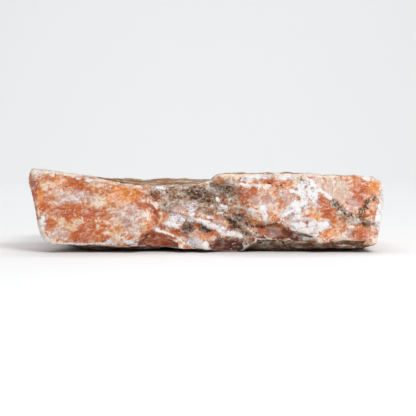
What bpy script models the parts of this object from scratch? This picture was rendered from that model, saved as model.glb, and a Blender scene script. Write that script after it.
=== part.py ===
"""A slab of raw alabaster, broken out of its bed, lying on its worn underside.

The slab is one stone. It starts as a blank with the slab's two uneven bedding surfaces, and is then
broken to shape as the real one was: a broken face at each side, shallow chips along the edges, and
worn flat places where it rests.

Units are metres. The functions that shape a face work in millimetres. +X runs along the slab, -Y is
the face towards the viewer, +Z is up. The origin is at the middle of the slab's box, on the surface
that it lies on.
"""

import math

import bmesh
import bpy
from mathutils import Matrix, Vector, noise

MM = 0.001

# Driving dimensions of the slab
LENGTH = 432 * MM
DEPTH = 268 * MM
BED_HEIGHT = 83 * MM  # from the surface that it lies on to the flat of the top

# Working sizes
MARGIN = 10 * MM  # what the blank is larger than the slab at each side
BLANK_CELL = 5 * MM
FRONT_CELL = 3 * MM
SIDE_CELL = 5 * MM
BREAK_HEIGHT = 130 * MM  # a breaking block is this high, from BREAK_FOOT
BREAK_FOOT = -15 * MM
BREAK_REACH = 90 * MM  # how far a breaking block reaches beyond its break
SMALLEST_EDGE = 0.5 * MM
TARGET_TRIANGLES = 9300
WORN_PATCH = 0.25 * MM  # what the ground takes off the lowest points

# The same dimensions in millimetres, for the functions that shape a face
HALF = LENGTH / 2 / MM
FRONT = -DEPTH / 2 / MM
BACK = DEPTH / 2 / MM
BED = BED_HEIGHT / MM

# Upper and lower edge of the face towards the viewer: x and height in mm
TOP_EDGE = [(-217, 103), (-143, 92), (-119, 88), (-99, 84), (-77, 82), (-58, 81), (-12, 84), (3, 88)]
TOP_EDGE += [(13, 96), (60, 97), (121, 96), (137, 93), (200, 93), (217, 85)]
FOOT_EDGE = [(-217, 15), (-185, 9), (-105, 8), (-33, 4), (0, 3), (26, -1), (44, 1), (52, 9), (62, 13)]
FOOT_EDGE += [(82, 11), (117, 7), (147, 4), (177, 4), (197, 8), (210, 14)]

# Lines on the face towards the viewer: x and height in mm
DARK_LEDGE = [(20, 60), (41, 46), (61, 38), (87, 35), (101, 26), (124, 20)]
LEFT_SHELL = [(-92, -10), (-84, 14), (-76, 22), (-63, 27), (-50, 23), (-38, 14), (-26, -10)]
RIGHT_SHELL = [(-6, -10), (4, 9), (11, 17), (21, 21), (38, 20), (50, 13), (60, -10)]
BLOCK_EDGE = [(30, 62), (40, 57), (55, 46), (78, 34), (90, 8), (100, 2)]  # height, then x

# Main forms of the face towards the viewer, in mm. A depth is how far it stands back
LEFT_FACE_DEPTH = 6
BOSS = (-87, 45)  # middle of the round boss that the left face ends in
BOSS_REACH = 36
BOSS_SWELL = 5
BOSS_EDGE_X = -59  # where the boss ends, at its own height
BOSS_EDGE_BEND = 0.009
RECESS_DEPTH = 17
RECESS_TOP_FALL = 13  # how much deeper the recess is where it meets the top
RECESS_FOOT_STEP = 12  # how far its foot comes forward again
RECESS_BAND = 21  # height of the slanting bands in it
BAND_SLOPE = 0.6
BLOCK_DEPTH = 5
TOP_LIP = 4.5
UNDER_LEDGE_DEPTH = 12
FACET_START = (122, 90)  # where the right facet's ridge meets the top edge
FACET_LEAN = (0.42, 0.38)  # how fast the facet falls back along the slab, and upwards
SHELL_DEPTH = 11
SHELL_LEAN = 0.75
FOOT_FALL = 13  # how far the right half's foot is cut back

# How far each end and the back stand back in plan, and from foot to top
LEFT_PLAN = [(-134, 13), (-121, 0), (-60, 3), (-5, 15), (45, 6), (80, 13), (104, 31), (134, 60)]
LEFT_RISE = [(0, 30), (9, 25), (14, 18), (21, 14), (29, 12), (43, 9), (59, 7), (75, 3), (89, 0), (104, 3)]
RIGHT_PLAN = [(-134, 0), (-66, 1), (-10, 12), (40, 4), (80, 14), (104, 33), (134, 60)]
RIGHT_RISE = [(0, 17), (15, 11), (33, 7), (47, 4), (63, 1), (75, 1), (85, 4), (92, 12), (100, 22)]
BACK_PLAN = [(-216, 62), (-178, 30), (-125, 3), (-60, 9), (0, 17), (48, 5), (100, 0), (150, 12), (190, 36)]
BACK_PLAN += [(216, 60)]
BACK_RISE = [(0, 16), (20, 5), (48, 0), (72, 6), (95, 18)]


def clear_scene():
    for obj in list(bpy.data.objects):
        bpy.data.objects.remove(obj)


def ramp(value, start, end):
    """0 before start, 1 after end, smooth between. start may be the larger one."""
    share = min(max((value - start) / (end - start), 0.0), 1.0)
    return share * share * (3 - 2 * share)


def mix(first, second, share):
    return first + (second - first) * share


def along(line, value):
    """What a bent line, given by its points, reads at a value. Beyond its ends it stays level."""
    for (start, low), (end, high) in zip(line, line[1:]):
        if value <= end:
            return mix(low, high, max((value - start) / (end - start), 0.0))
    return line[-1][1]


def grain(u, v, size, octaves=3, seed=0):
    """Fractal noise of about -1 to 1, with lumps of the given size."""
    return noise.fractal(Vector((u / size, v / size, 7.3 * seed)), 0.8, 2.1, octaves)


def scallops(u, v, size, seed=0):
    """Shell-shaped hollows that meet in ridges: 1 in the middle of a hollow and about 0 at a ridge."""
    nearest = noise.voronoi(Vector((u / size, v / size, 3.7 * seed)))[0][0]
    return max(0.0, 1 - (nearest / 0.75) ** 2)


def ledges(u, v, spacing, slope=0.0, seed=0):
    """Steps where the stone parts along its bedding: 0 at a lip, 1 under the next lip above it."""
    level = (v + slope * u + 0.8 * spacing * grain(u, v, 5 * spacing, 2, seed)) / spacing
    part = level - math.floor(level)
    return part / 0.72 if part < 0.72 else (1 - part) / 0.28


def hollow(u, v, middle, radii, depth):
    """A chip's hollow with a clean rim: its depth at a point."""
    away = math.hypot((u - middle[0]) / radii[0], (v - middle[1]) / radii[1])
    return depth * max(0.0, 1 - away * away)


def bed_top(x, y):
    """Height of the upper bedding surface: level behind, and following TOP_EDGE at the front."""
    near_front = ramp(y - FRONT, 105, 22)
    height = mix(BED, along(TOP_EDGE, x), near_front)
    height -= 8 * ramp(y, 0.3 * BACK, BACK)
    waves = 2.8 * grain(x, y, 90, 2, seed=1) + 1.5 * grain(x, 2.2 * y, 30, 3, seed=2)
    waves += 2.0 * ledges(x, 1.3 * y, 52, 0.35, seed=3) * ramp(grain(x, y, 70, 2, 4), -0.25, 0.35)
    return height + waves * mix(1.0, 0.3, near_front)


def bed_under(x, y):
    """Height of the underside. What comes out below 0 is later worn flat."""
    height = 0.4 + 7.0 * grain(x, y, 92, 3, seed=5) + 1.2 * grain(x, y, 24, 2, seed=6)
    inward = min(HALF - abs(x), BACK - abs(y)) + 12 * grain(x, y, 60, 2, seed=8)
    height += 6 * ramp(inward, 26, 0)
    from_front = y - FRONT + 26 * grain(x, 0, 70, 2, seed=7)
    return mix(height, along(FOOT_EDGE, x), ramp(from_front, 56, 14))


def left_face(x, z):
    """The large split face at the left. It swells into a round boss at its right end."""
    boss = BOSS_SWELL * ramp(math.hypot(x - BOSS[0], z - BOSS[1]), BOSS_REACH, 4)
    lean = 0.025 * (-110 - x) + 0.03 * (z - 45)
    chips = hollow(x, z, (-104, 34), (15, 11), 2.5) + hollow(x, z, (-150, 74), (34, 20), 1.2)
    foot = 5 * ramp(z + 9 * grain(x, 0, 45, 2, 10), 17, 5)
    lumps = 1.0 * scallops(x, z, 38, 11) + 0.7 * grain(x, z, 30, 3, 12)
    return LEFT_FACE_DEPTH + lean - boss + chips + foot + lumps


def weathered_recess(x, z):
    """The deep rough part right of the boss. Its bands step forward towards the foot."""
    depth = RECESS_DEPTH + RECESS_TOP_FALL * ramp(z, 56, 84) - RECESS_FOOT_STEP * ramp(z, 48, 16)
    steps = 6.0 * ledges(x, z, RECESS_BAND, BAND_SLOPE, 13) * ramp(z, 60, 42)
    return depth + steps + 3.2 * grain(x, z, 30, 4, 14) + 2.0 * scallops(x, z, 20, 15)


def right_block(x, z):
    """The block that stands forward right of the recess, with a lip under its top edge."""
    lip = TOP_LIP * ramp(z, 82, 86) * ramp(x, 28, 38) * ramp(x, 84, 70)
    bulge = 3 * ramp(math.hypot((x - 110) / 60, (z - 42) / 34), 1.0, 0.0)
    return BLOCK_DEPTH + lip - bulge + 2.2 * scallops(x, z, 30, 16) + 1.2 * grain(x, z, 34, 4, 17)


def under_ledge(x, z):
    """The weathered strip below the dark ledge, set back from the block above it."""
    return UNDER_LEDGE_DEPTH + 3.5 * ledges(x, z, 15, 0.4, 18) + 2.0 * grain(x, z, 18, 3, 19)


def right_facet(x, z):
    """The flat facet at the right end of the face, which leans back from a diagonal ridge."""
    fall = FACET_LEAN[0] * (x - FACET_START[0]) + FACET_LEAN[1] * (z - FACET_START[1])
    return BLOCK_DEPTH - 1 + fall + 0.5 * grain(x, z, 40, 3, 20)


def front_break(x, z):
    """How far the face towards the viewer stands back at a point of it."""
    boss_edge = BOSS_EDGE_X - BOSS_EDGE_BEND * (z - BOSS[1]) ** 2
    depth = mix(left_face(x, z), weathered_recess(x, z), ramp(x - boss_edge, -14, 7))
    below_ledge = ramp(along(DARK_LEDGE, x) - z, -1.5, 1.5) * ramp(x, 134, 118)
    block = mix(right_block(x, z), under_ledge(x, z), below_ledge)
    depth = mix(depth, block, ramp(x - along(BLOCK_EDGE, z), -18, 12))
    depth = max(depth, right_facet(x, z))
    for shell in (LEFT_SHELL, RIGHT_SHELL):
        below = along(shell, x) - z
        scoop = SHELL_DEPTH + SHELL_LEAN * below + 1.2 * grain(x, z, 20, 3, 22)
        depth = mix(depth, scoop, ramp(below, -2, 3))
    depth += FOOT_FALL * ramp(z + 5 * grain(x, 0, 36, 2, 23), 17, 3) * ramp(x, 56, 70)
    depth += hollow(x, z, (172, 24), (7, 6), 4) + hollow(x, z, (192, 13), (8, 5), 3)
    return depth


def side_relief(u, z, seed):
    """The broken surface of an end or of the back: low ledges, shell-shaped hollows and lumps."""
    steps = 5 * ledges(u, z, 27, 0.12, seed) * ramp(grain(u, z, 80, 2, seed + 1), -0.2, 0.3)
    return steps + 5 * scallops(u, 1.5 * z, 46, seed + 2) + 2.4 * grain(u, z, 30, 4, seed + 3)


def end_break(y, z, plan, rise, seed):
    """How far an end stands back. It is smooth near the front, and rougher behind."""
    rough = mix(0.25, 1.0, ramp(y, -112, -60))
    height = z + 14 * (rough - 0.25) * grain(y, 0, 50, 2, seed)
    return along(plan, y) + along(rise, height) + rough * (side_relief(y, z, seed + 1) - 2)


def left_break(y, z):
    return end_break(y, z, LEFT_PLAN, LEFT_RISE, 31)


def right_break(y, z):
    return end_break(y, z, RIGHT_PLAN, RIGHT_RISE, 41)


def back_break(x, z):
    height = z + 14 * grain(x, 0, 70, 2, 51)
    return along(BACK_PLAN, x) + along(BACK_RISE, height) + side_relief(x, z, 52) - 2


def make_blank():
    """The slab before it is broken: a block of even cells, bent to its two bedding surfaces."""
    mesh = bpy.data.meshes.new("blank")
    bm = bmesh.new()
    bmesh.ops.create_cube(bm, size=1.0)
    size = Vector((LENGTH + 2 * MARGIN, DEPTH + 2 * MARGIN, BED_HEIGHT))
    bmesh.ops.transform(bm, matrix=Matrix.Diagonal((*size, 1.0)), verts=bm.verts)
    bm.to_mesh(mesh)
    bm.free()
    blank = bpy.data.objects.new("blank", mesh)
    bpy.context.scene.collection.objects.link(blank)
    remesh = blank.modifiers.new("even_cells", "REMESH")
    remesh.mode = "VOXEL"
    remesh.voxel_size = BLANK_CELL
    bake(blank)
    for vert in blank.data.vertices:
        x, y = vert.co.x / MM, vert.co.y / MM
        share = min(max(vert.co.z / BED_HEIGHT + 0.5, 0.0), 1.0)
        vert.co.z = mix(bed_under(x, y), bed_top(x, y), share) * MM
    return blank


def bake(obj):
    """Replaces the object's mesh with what its modifiers make of it."""
    graph = bpy.context.evaluated_depsgraph_get()
    made = bpy.data.meshes.new_from_object(obj.evaluated_get(graph))
    obj.modifiers.clear()
    obj.data = made


def cutter_object(name, bm):
    bmesh.ops.recalc_face_normals(bm, faces=bm.faces)
    mesh = bpy.data.meshes.new(name)
    bm.to_mesh(mesh)
    bm.free()
    cutter = bpy.data.objects.new(name, mesh)
    bpy.context.scene.collection.objects.link(cutter)
    cutter.hide_render = True
    cutter.display_type = "WIRE"
    return cutter


def breaking_block(name, run, outward, place, width, cell, depth_at):
    """A block that breaks off all that lies beyond a shaped face.

    run is the direction along the face, outward the way that the face looks, place how far from the
    slab's middle the face lies, and depth_at gives how far it stands back at a point of it.
    """
    run, outward, up = Vector(run), Vector(outward), Vector((0, 0, 1))
    columns, rows = round(width / cell), round(BREAK_HEIGHT / cell)
    bm = bmesh.new()
    bmesh.ops.create_grid(bm, x_segments=columns, y_segments=rows, size=0.5)
    for vert in bm.verts:
        u = vert.co.x * width
        z = BREAK_FOOT + (vert.co.y + 0.5) * BREAK_HEIGHT
        depth = depth_at(u / MM, z / MM) * MM
        vert.co = run * u + up * z + outward * (place - depth)
    block = bmesh.ops.extrude_face_region(bm, geom=bm.faces[:])
    for vert in [v for v in block["geom"] if isinstance(v, bmesh.types.BMVert)]:
        vert.co += outward * (BREAK_REACH - vert.co.dot(outward) + place)
    return cutter_object(name, bm)


def chip(name, at, radii, turn=(0, 0, 0), rough=1.5, seed=0):
    """A rough lump that knocks a chip out of the stone. Sizes are in mm, turn in degrees."""
    bm = bmesh.new()
    bmesh.ops.create_icosphere(bm, subdivisions=4, radius=1.0)
    for vert in bm.verts:
        place = Vector((vert.co.x * radii[0], vert.co.y * radii[1], vert.co.z * radii[2]))
        lumps = rough * (grain(place.x + place.z, place.y - place.z, 24, 4, seed))
        vert.co = (place + vert.co * lumps) * MM
    spin = Matrix.Identity(4)
    for axis, angle in zip("XYZ", turn):
        spin = Matrix.Rotation(math.radians(angle), 4, axis) @ spin
    bmesh.ops.transform(bm, matrix=Matrix.Translation(Vector(at) * MM) @ spin, verts=bm.verts)
    return cutter_object(name, bm)


def carve(stone, cutters):
    """Takes the cutters out of the stone, and removes them."""
    for cutter in cutters:
        modifier = stone.modifiers.new(cutter.name, "BOOLEAN")
        modifier.operation = "DIFFERENCE"
        modifier.object = cutter
    bake(stone)
    for cutter in cutters:
        bpy.data.objects.remove(cutter)


def broken_faces():
    """The four sides that the slab was broken out at."""
    across, back = LENGTH + 4 * MARGIN, DEPTH + 4 * MARGIN
    return [
        breaking_block("front", (1, 0, 0), (0, -1, 0), DEPTH / 2, across, FRONT_CELL, front_break),
        breaking_block("left", (0, 1, 0), (-1, 0, 0), LENGTH / 2, back, SIDE_CELL, left_break),
        breaking_block("right", (0, 1, 0), (1, 0, 0), LENGTH / 2, back, SIDE_CELL, right_break),
        breaking_block("back", (1, 0, 0), (0, 1, 0), DEPTH / 2, across, SIDE_CELL, back_break),
    ]


def edge_chips():
    """Shallow chips along the edges of the two beds."""
    return [
        chip("left_top_chip", (-226, 28, 104), (34, 60, 34), (0, 0, 12), 2.5, 71),
        chip("left_low_chip", (-224, 66, -6), (44, 60, 30), (0, 0, -10), 2.5, 72),
        chip("back_low_chip", (-30, 152, -8), (74, 44, 32), (0, 0, 8), 2.5, 73),
        chip("back_top_chip", (62, 150, 104), (80, 40, 38), (0, 0, 6), 2.5, 74),
        chip("left_corner_chip", (-150, 140, 100), (62, 44, 36), (0, 0, 30), 2.5, 75),
        chip("right_top_chip", (228, 40, 104), (36, 64, 32), (0, 0, -8), 2.5, 76),
        chip("right_low_chip", (232, 8, -4), (42, 52, 30), (0, 0, 6), 2.5, 77),
    ]


def ground_block(height):
    """A block whose top is the surface that the slab lies on, raised by the given height."""
    bm = bmesh.new()
    bmesh.ops.create_cube(bm, size=1.0)
    side = 2 * LENGTH
    drop = Matrix.Translation((0, 0, height - side / 2))
    bmesh.ops.transform(bm, matrix=drop @ Matrix.Scale(side, 4), verts=bm.verts)
    return cutter_object("ground", bm)


def thin_out(stone):
    """Brings the stone down to its number of triangles, keeping most where the surface turns."""
    bm = bmesh.new()
    bm.from_mesh(stone.data)
    bmesh.ops.remove_doubles(bm, verts=bm.verts, dist=SMALLEST_EDGE)
    bmesh.ops.dissolve_degenerate(bm, dist=SMALLEST_EDGE, edges=bm.edges)
    bmesh.ops.triangulate(bm, faces=bm.faces)
    bm.to_mesh(stone.data)
    bm.free()
    stone.data.calc_loop_triangles()
    share = TARGET_TRIANGLES / len(stone.data.loop_triangles)
    thinned = stone.modifiers.new("thinned", "DECIMATE")
    thinned.ratio = min(1.0, share)
    bake(stone)


def set_down(stone):
    """Puts the middle of the slab's box over the origin, and its worn underside at height 0."""
    corners = [Vector(corner) for corner in stone.bound_box]
    low = Vector(min(corner[i] for corner in corners) for i in range(3))
    high = Vector(max(corner[i] for corner in corners) for i in range(3))
    middle = (low + high) / 2
    stone.data.transform(Matrix.Translation((-middle.x, -middle.y, -low.z)))


def stone_material():
    material = bpy.data.materials.new("orange_alabaster")
    material.use_nodes = True
    shader = material.node_tree.nodes["Principled BSDF"]
    shader.inputs["Base Color"].default_value = (0.58, 0.24, 0.11, 1.0)
    shader.inputs["Roughness"].default_value = 0.55
    shader.inputs["Metallic"].default_value = 0.0
    return material


def main():
    clear_scene()
    stone = make_blank()
    carve(stone, broken_faces())
    carve(stone, edge_chips())
    carve(stone, [ground_block(0)])
    thin_out(stone)
    carve(stone, [ground_block(WORN_PATCH)])
    stone.name = "alabaster_slab"
    stone.data.name = "alabaster_slab"
    stone.data.materials.clear()
    stone.data.materials.append(stone_material())
    stone.data.set_sharp_from_angle(angle=math.radians(40))
    bpy.context.view_layer.update()
    set_down(stone)


main()
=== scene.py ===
"""Dresses the alabaster slab: broken faces, weathered recess, bedding crust, chalk and worn edges.

The slab's solid is loaded as a fixed frame. Its copy is cut into fine even cells, gets the fine relief
of the real surface, and carries where each kind of surface lies as attributes for the material. Places
on the face towards the viewer are in millimetres: along the slab from its middle, and up from the
surface that it lies on.
"""

import math

import bmesh
import bpy
import numpy as np
from bpy.props import FloatProperty, FloatVectorProperty, IntProperty, PointerProperty
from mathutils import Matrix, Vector, noise


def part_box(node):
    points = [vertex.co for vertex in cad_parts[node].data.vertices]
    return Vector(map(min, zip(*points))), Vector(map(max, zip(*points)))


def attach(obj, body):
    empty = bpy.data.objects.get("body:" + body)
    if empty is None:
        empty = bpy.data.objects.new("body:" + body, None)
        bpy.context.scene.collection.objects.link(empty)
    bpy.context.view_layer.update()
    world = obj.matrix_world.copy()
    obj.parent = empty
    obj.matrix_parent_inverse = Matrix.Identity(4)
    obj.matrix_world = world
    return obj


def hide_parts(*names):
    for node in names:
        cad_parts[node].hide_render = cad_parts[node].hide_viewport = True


bl_info = {
    "name": "Alabaster Slab",
    "version": (1, 0, 0),
    "blender": (4, 5, 0),
    "location": "3D View > Sidebar > Alabaster",
    "description": "Dresses a raw slab of alabaster and sets a stage for it",
    "category": "Add Mesh",
}

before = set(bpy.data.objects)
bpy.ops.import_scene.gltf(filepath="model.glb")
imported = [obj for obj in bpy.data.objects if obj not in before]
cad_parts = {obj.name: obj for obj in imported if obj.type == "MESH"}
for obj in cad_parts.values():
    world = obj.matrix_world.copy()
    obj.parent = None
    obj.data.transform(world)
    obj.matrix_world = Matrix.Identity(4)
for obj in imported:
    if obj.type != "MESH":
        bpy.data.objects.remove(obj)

MM = 0.001
SOLID = "alabaster_slab"
BODY = "root"
LOW, HIGH = (Vector(corner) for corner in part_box(SOLID))
SLAB_LENGTH = HIGH.x - LOW.x
SLAB_HEIGHT = HIGH.z - LOW.z
VIEW_DISTANCE = 1656  # from the eye to the foremost point, in mm
VIEW_HEIGHT = 139  # of the eye above the floor, in mm
VIEW_STRETCH = 1.017  # what makes up for the ends looking smaller than the middle
VIEW_SHIFT = 2  # and for the right end standing further back than the left one, in mm
FRONT_BAND = 62  # how far behind the foremost point the face towards the viewer reaches, in mm
FRONT_END = FRONT_BAND - 14  # where that face's surface kinds start to fade out, in mm
BED_SLOPES = (0.62, 0.86)  # how far a normal points up where the crust starts, and where it is whole
BED_HEIGHTS = (58, 72)  # and how high, in mm
UNDER_SLOPES = (0.55, 0.85)  # the same for the underside, pointing down
UNDER_HEIGHTS = (30, 18)
OUT_OF_REACH = -30  # lower than any point, in mm
SHELL_BLEND = 8.0  # height over which a shell-shaped break blends into the face, in mm
FLOOR_SLACK = 2 * MM  # how far from the floor the relief may leave the lowest point
SEED_SHIFT = 1.7  # how far each seed moves the relief's patterns, in m
# Dark places: painted shadow under the ledge, along the foot, in the recess and by the round boss, and dark
# stains
SHADOW_AND_STAIN = (0.34, 0.20, 0.14, 1.0)  # what dark places multiply the colour by

# Patches of each kind of surface on the face towards the viewer:
# along, up, half length, half height in mm, and turn in degrees
PATCHES = {
    "chalk": [
        (-40, 41, 9, 8, 20), (-34, 45, 7, 5, 0), (-46, 34, 2.5, 4, 0), (-18, 51, 6, 7, -15),
        (-9, 46, 6, 1.6, 0), (12, 64, 2, 2, 0), (22, 55, 5, 3, 0), (16, 49, 4, 2, 0), (5, 44, 4, 2.5, 0),
        (-14, 14, 13, 5, -12), (-1, 9, 5, 4, 0), (-58, 28, 4, 3, 0), (-56, 78, 6, 1.4, 0),
        (-58, 84, 5, 0.9, 0), (4, 86, 6, 1.8, 8), (57, 51, 8, 2.4, 0), (68, 53, 5, 5, 0), (71, 46, 4, 8, 8),
        (66, 92, 22, 2.2, 0), (98, 92, 15, 3, 0), (112, 74, 10, 6, -10), (128, 73, 7, 16, 12),
        (117, 82, 9, 4, 20), (102, 52, 14, 6, 42), (109, 45, 7, 10, 0), (119, 62, 5, 9, 0),
        (112, 33, 10, 10, 0), (122, 25, 11, 8, -10), (128, 35, 5, 7, 0), (142, 33, 8, 5.5, 35),
        (-118, 14, 5, 3, 0), (-88, 14, 11, 3, 0), (-202, 32, 4.5, 13, -22), (-196, 16, 7, 6, -40),
        (-205, 98, 8, 2.5, -8), (-184, 97, 8, 1.6, -8), (-158, 90, 5, 1.4, -8), (-143, 88, 5, 1.6, -8),
        (-91, 42, 2.5, 2, 0), (-158, 65, 3, 1.2, 0), (210, 50, 3.5, 24, -8), (165, 12, 20, 2.5, -4),
        (194, 90, 8, 2, -20),
    ],
    "haze": [
        (-162, 67, 24, 8, 0), (-93, 46, 17, 11, 0), (-88, 28, 10, 6, 0), (72, 62, 16, 11, 0),
        (119, 57, 8, 6, 0), (84, 24, 10, 5, 0), (170, 24, 6, 6, 0), (-178, 24, 11, 6, 0), (14, 37, 8, 4, 0),
        (-38, 56, 12, 7, 0), (178, 60, 7, 9, 0), (-64, 11, 8, 3, 0), (16, 39, 5, 4, 0), (96, 70, 10, 8, 0),
    ],
    "peach": [
        (152, 77, 17, 8, -38), (140, 85, 10, 5, -30), (165, 72, 9, 13, 0), (158, 86, 14, 4, 0),
    ],
    "amber": [
        (-103, 71, 14, 10, 0), (-90, 69, 9, 9, -20), (-118, 66, 4, 5, 0), (-182, 88, 4, 5, 0),
        (54, 40, 7, 3.5, -15), (80, 70, 6, 6, 0), (98, 77, 6, 5, 0), (205, 82, 9, 9, -20),
        (150, 25, 13, 6, 0), (131, 42, 6, 7, 0), (-108, 31, 4.5, 6, -20), (-201, 66, 4, 9, 0),
        (14, 90, 8, 4, 10), (-70, 42, 5, 10, 0), (48, 91, 4, 2, 0),
    ],
    "cream": [
        (-128, 63, 10, 8, 0), (-107, 33, 9, 12, -25), (-76, 37, 5, 9, 0), (-171, 35, 13, 4, -25),
        (-155, 38, 6, 4, 0), (-196, 83, 7, 4, 0), (133, 43, 8, 8, 0), (28, 92, 8, 2.5, 0), (112, 85, 9, 6, 0),
        (14, 81, 26, 2.6, 0), (24, 35, 4, 6, 10), (92, 16, 14, 2, 0), (-110, 22, 9, 5, 0),
    ],
    "rust": [
        (-214, 80, 8, 18, 3), (-60, 13, 17, 9, 0), (-104, 86, 30, 3.5, -3), (-142, 90, 20, 3, -9),
        (82, 25, 22, 5, -5), (-206, 70, 7, 7, 0), (-194, 90, 5, 3, 0), (-154, 79, 14, 4, -25),
        (-150, 26, 14, 9, 40), (-172, 50, 18, 6, -10), (-140, 48, 14, 7, 0), (52, 73, 10, 6, 0),
        (46, 63, 4, 5, 0), (84, 82, 4, 4, 0), (98, 28, 6, 3.5, 0), (142, 58, 10, 10, 0), (150, 48, 8, 6, 0),
        (185, 68, 9, 14, -10), (187, 23, 11, 7, 0), (-35, 27, 8, 4, -20), (-50, 33, 6, 2.5, -10),
        (-12, 22, 5, 4, 0), (38, 42, 8, 5, 0), (-20, 8, 9, 2.5, 0), (10, 25, 8, 4, 0),
    ],
    "weathered": [
        (-30, 85, 30, 4, 0), (52, 11, 6, 9, 20), (-28, 71, 34, 11, 0), (12, 72, 30, 10, -3),
        (6, 60, 30, 9, -5), (-48, 58, 9, 6, 0), (-22, 31, 8, 7, 0), (-2, 31, 7, 5, 0), (38, 38, 12, 9, -20),
        (30, 84, 7, 5, 0), (48, 25, 8, 6, 0), (60, 22, 6, 3, 0), (157, 60, 5, 5, -40), (165, 49, 6, 5, -40),
        (184, 40, 16, 5, 0), (116, 86, 3, 5, 0), (-58, 77, 12, 5, 0), (197, 35, 7, 3, 0),
    ],
    "liver": [
        (105, 25, 12, 5, -10), (110, 18, 10, 4, -5), (70, 19, 6, 3, 0), (120, 7, 60, 4, 0),
    ],
    # Soil: dirt, and painted shadow in the recess's crevices and along the foot
    "soil": [
        (-22, 31, 6, 6, 0), (-1, 30, 5, 4, 0), (-61, 70, 5, 6, 0), (-6, 70, 12, 6, -10), (40, 7, 12, 6, 0),
        (35, 33, 4, 2.5, 0), (30, 44, 10, 4, -20), (59, 25, 4, 2, 0), (26, 80, 3, 3, 0), (92, 83, 2.5, 2, 0),
        (77, 84, 2.5, 2, 0), (196, 35, 7, 2.5, 0),
    ],
    # Dark: painted shadow under the ledge, along the foot and in the recess, and dark stains
    "dark": [
        (24, 8, 24, 11, 0), (46, 4, 12, 9, 0), (-8, 69, 15, 7, -8), (-61, 69, 5, 6, 0), (-22, 30, 9, 7, 0),
        (-1, 30, 7, 5, 0), (36, 40, 14, 5, -20), (50, 24, 8, 5, 0), (36, 28, 16, 4, -10), (51, 12, 8, 9, 0),
        (84, 24, 24, 6, -5), (75, 34, 18, 3, 0), (70, 18, 8, 3, 0), (108, 20, 12, 4, -5), (120, 6, 70, 4, 0),
        (-208, 84, 3, 10, 0),
    ],
}
# Strokes of each kind: half width, then the points that the stroke runs through
STROKES = {
    "chalk": [
        (2.2, [(-20, 40), (-10, 40), (0, 37)]), (3.4, [(0, 36), (12, 32), (25, 26), (40, 20)]),
        (2.6, [(120, 91), (131, 83), (140, 75), (150, 68)]), (1.5, [(41, 82), (54, 82.5), (67, 83)]),
        (1.1, [(42, 88), (55, 88)]), (1.0, [(-63, 28), (-52, 27), (-42, 22), (-33, 17), (-27, 12)]),
        (1.0, [(-188, 12), (-150, 11.5), (-110, 12)]),
    ],
    "rust": [
        # The first rust stroke rims the round boss's right edge: its own rust-brown, and painted shade where
        # the boss falls away
        (4.2, [(-84, 59), (-72, 57), (-63, 50), (-60, 38), (-65, 29)]),
        (2.4, [(-86, 15), (-76, 22), (-63, 26), (-51, 24), (-40, 17)]),
        (1.5, [(-170, 16), (-145, 24), (-132, 36)]), (1.5, [(-160, 14), (-140, 18), (-126, 28)]),
        (1.5, [(40, 84), (41, 78), (38, 70)]),
    ],
    "amber": [
        (2.4, [(50, 42), (58, 38), (68, 37)]),
    ],
    "cream": [
        (1.1, [(-57, 62), (-54, 52), (-55, 42), (-60, 31)]), (1.1, [(194, 83), (202, 78), (211, 72)]),
        (1.4, [(-212, 99), (-180, 96), (-148, 90), (-119, 86), (-104, 81), (-84, 79)]),
    ],
    "weathered": [
        (2.5, [(150, 68), (159, 58), (170, 48), (186, 41)]),
    ],
    "liver": [
        (2.0, [(64, 17), (80, 17), (96, 20), (108, 19), (122, 14)]),
    ],
    # Soil: dirt, and painted shadow under the ledge and in crevices
    "soil": [
        (3.0, [(204, 67), (196, 62), (190, 53), (186, 46)]),
        (1.6, [(48, 37), (52, 32), (60, 33), (74, 33), (86, 37)]), (2.2, [(152, 66), (160, 58), (172, 47)]),
        (1.2, [(-3, 41), (8, 38)]), (1.4, [(18, 50), (27, 43), (33, 37)]),
    ],
    # Dark: painted shadow under the ledge and along the round boss's right edge
    "dark": [
        (2.0, [(40, 45), (48, 37), (60, 33), (74, 33), (88, 37)]), (2.0, [(-74, 60), (-63, 54), (-58, 45)]),
    ],
}
# Where the face ends above the dark underside, on its right half
FOOT_EDGE = [(54, 12), (62, 16), (74, 17), (103, 15), (128, 16), (151, 11), (174, 8), (184, 3)]
# The two shell-shaped breaks at the foot: points along each one's upper edge
SHELL_EDGES = [
    [(-102, 9), (-88, 14), (-76, 21), (-63, 26), (-51, 25), (-39, 17), (-30, 4)],
    [(-4, 2), (4, 10), (11, 17), (21, 21), (38, 20), (50, 13), (58, 2)],
]


def colour(red, green, blue):
    """A colour as seen on screen, 0 to 255, made linear."""
    return tuple(((part / 255 + 0.055) / 1.055) ** 2.4 for part in (red, green, blue))


def length_prop(name, description, default):
    return FloatProperty(name=name, description=description, default=default, unit="LENGTH", precision=5)


def number_prop(name, description, default):
    """A whole number where the default is one."""
    kind = IntProperty if isinstance(default, int) else FloatProperty
    return kind(name=name, description=description, default=default)


def share_prop(name, description, default):
    return FloatProperty(name=name, description=description, default=default, min=0.0, subtype="FACTOR")


def colour_prop(name, description, rgb):
    return FloatVectorProperty(
        name=name, description=description, default=colour(*rgb), subtype="COLOR", size=3, min=0.0, max=1.0
    )


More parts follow.
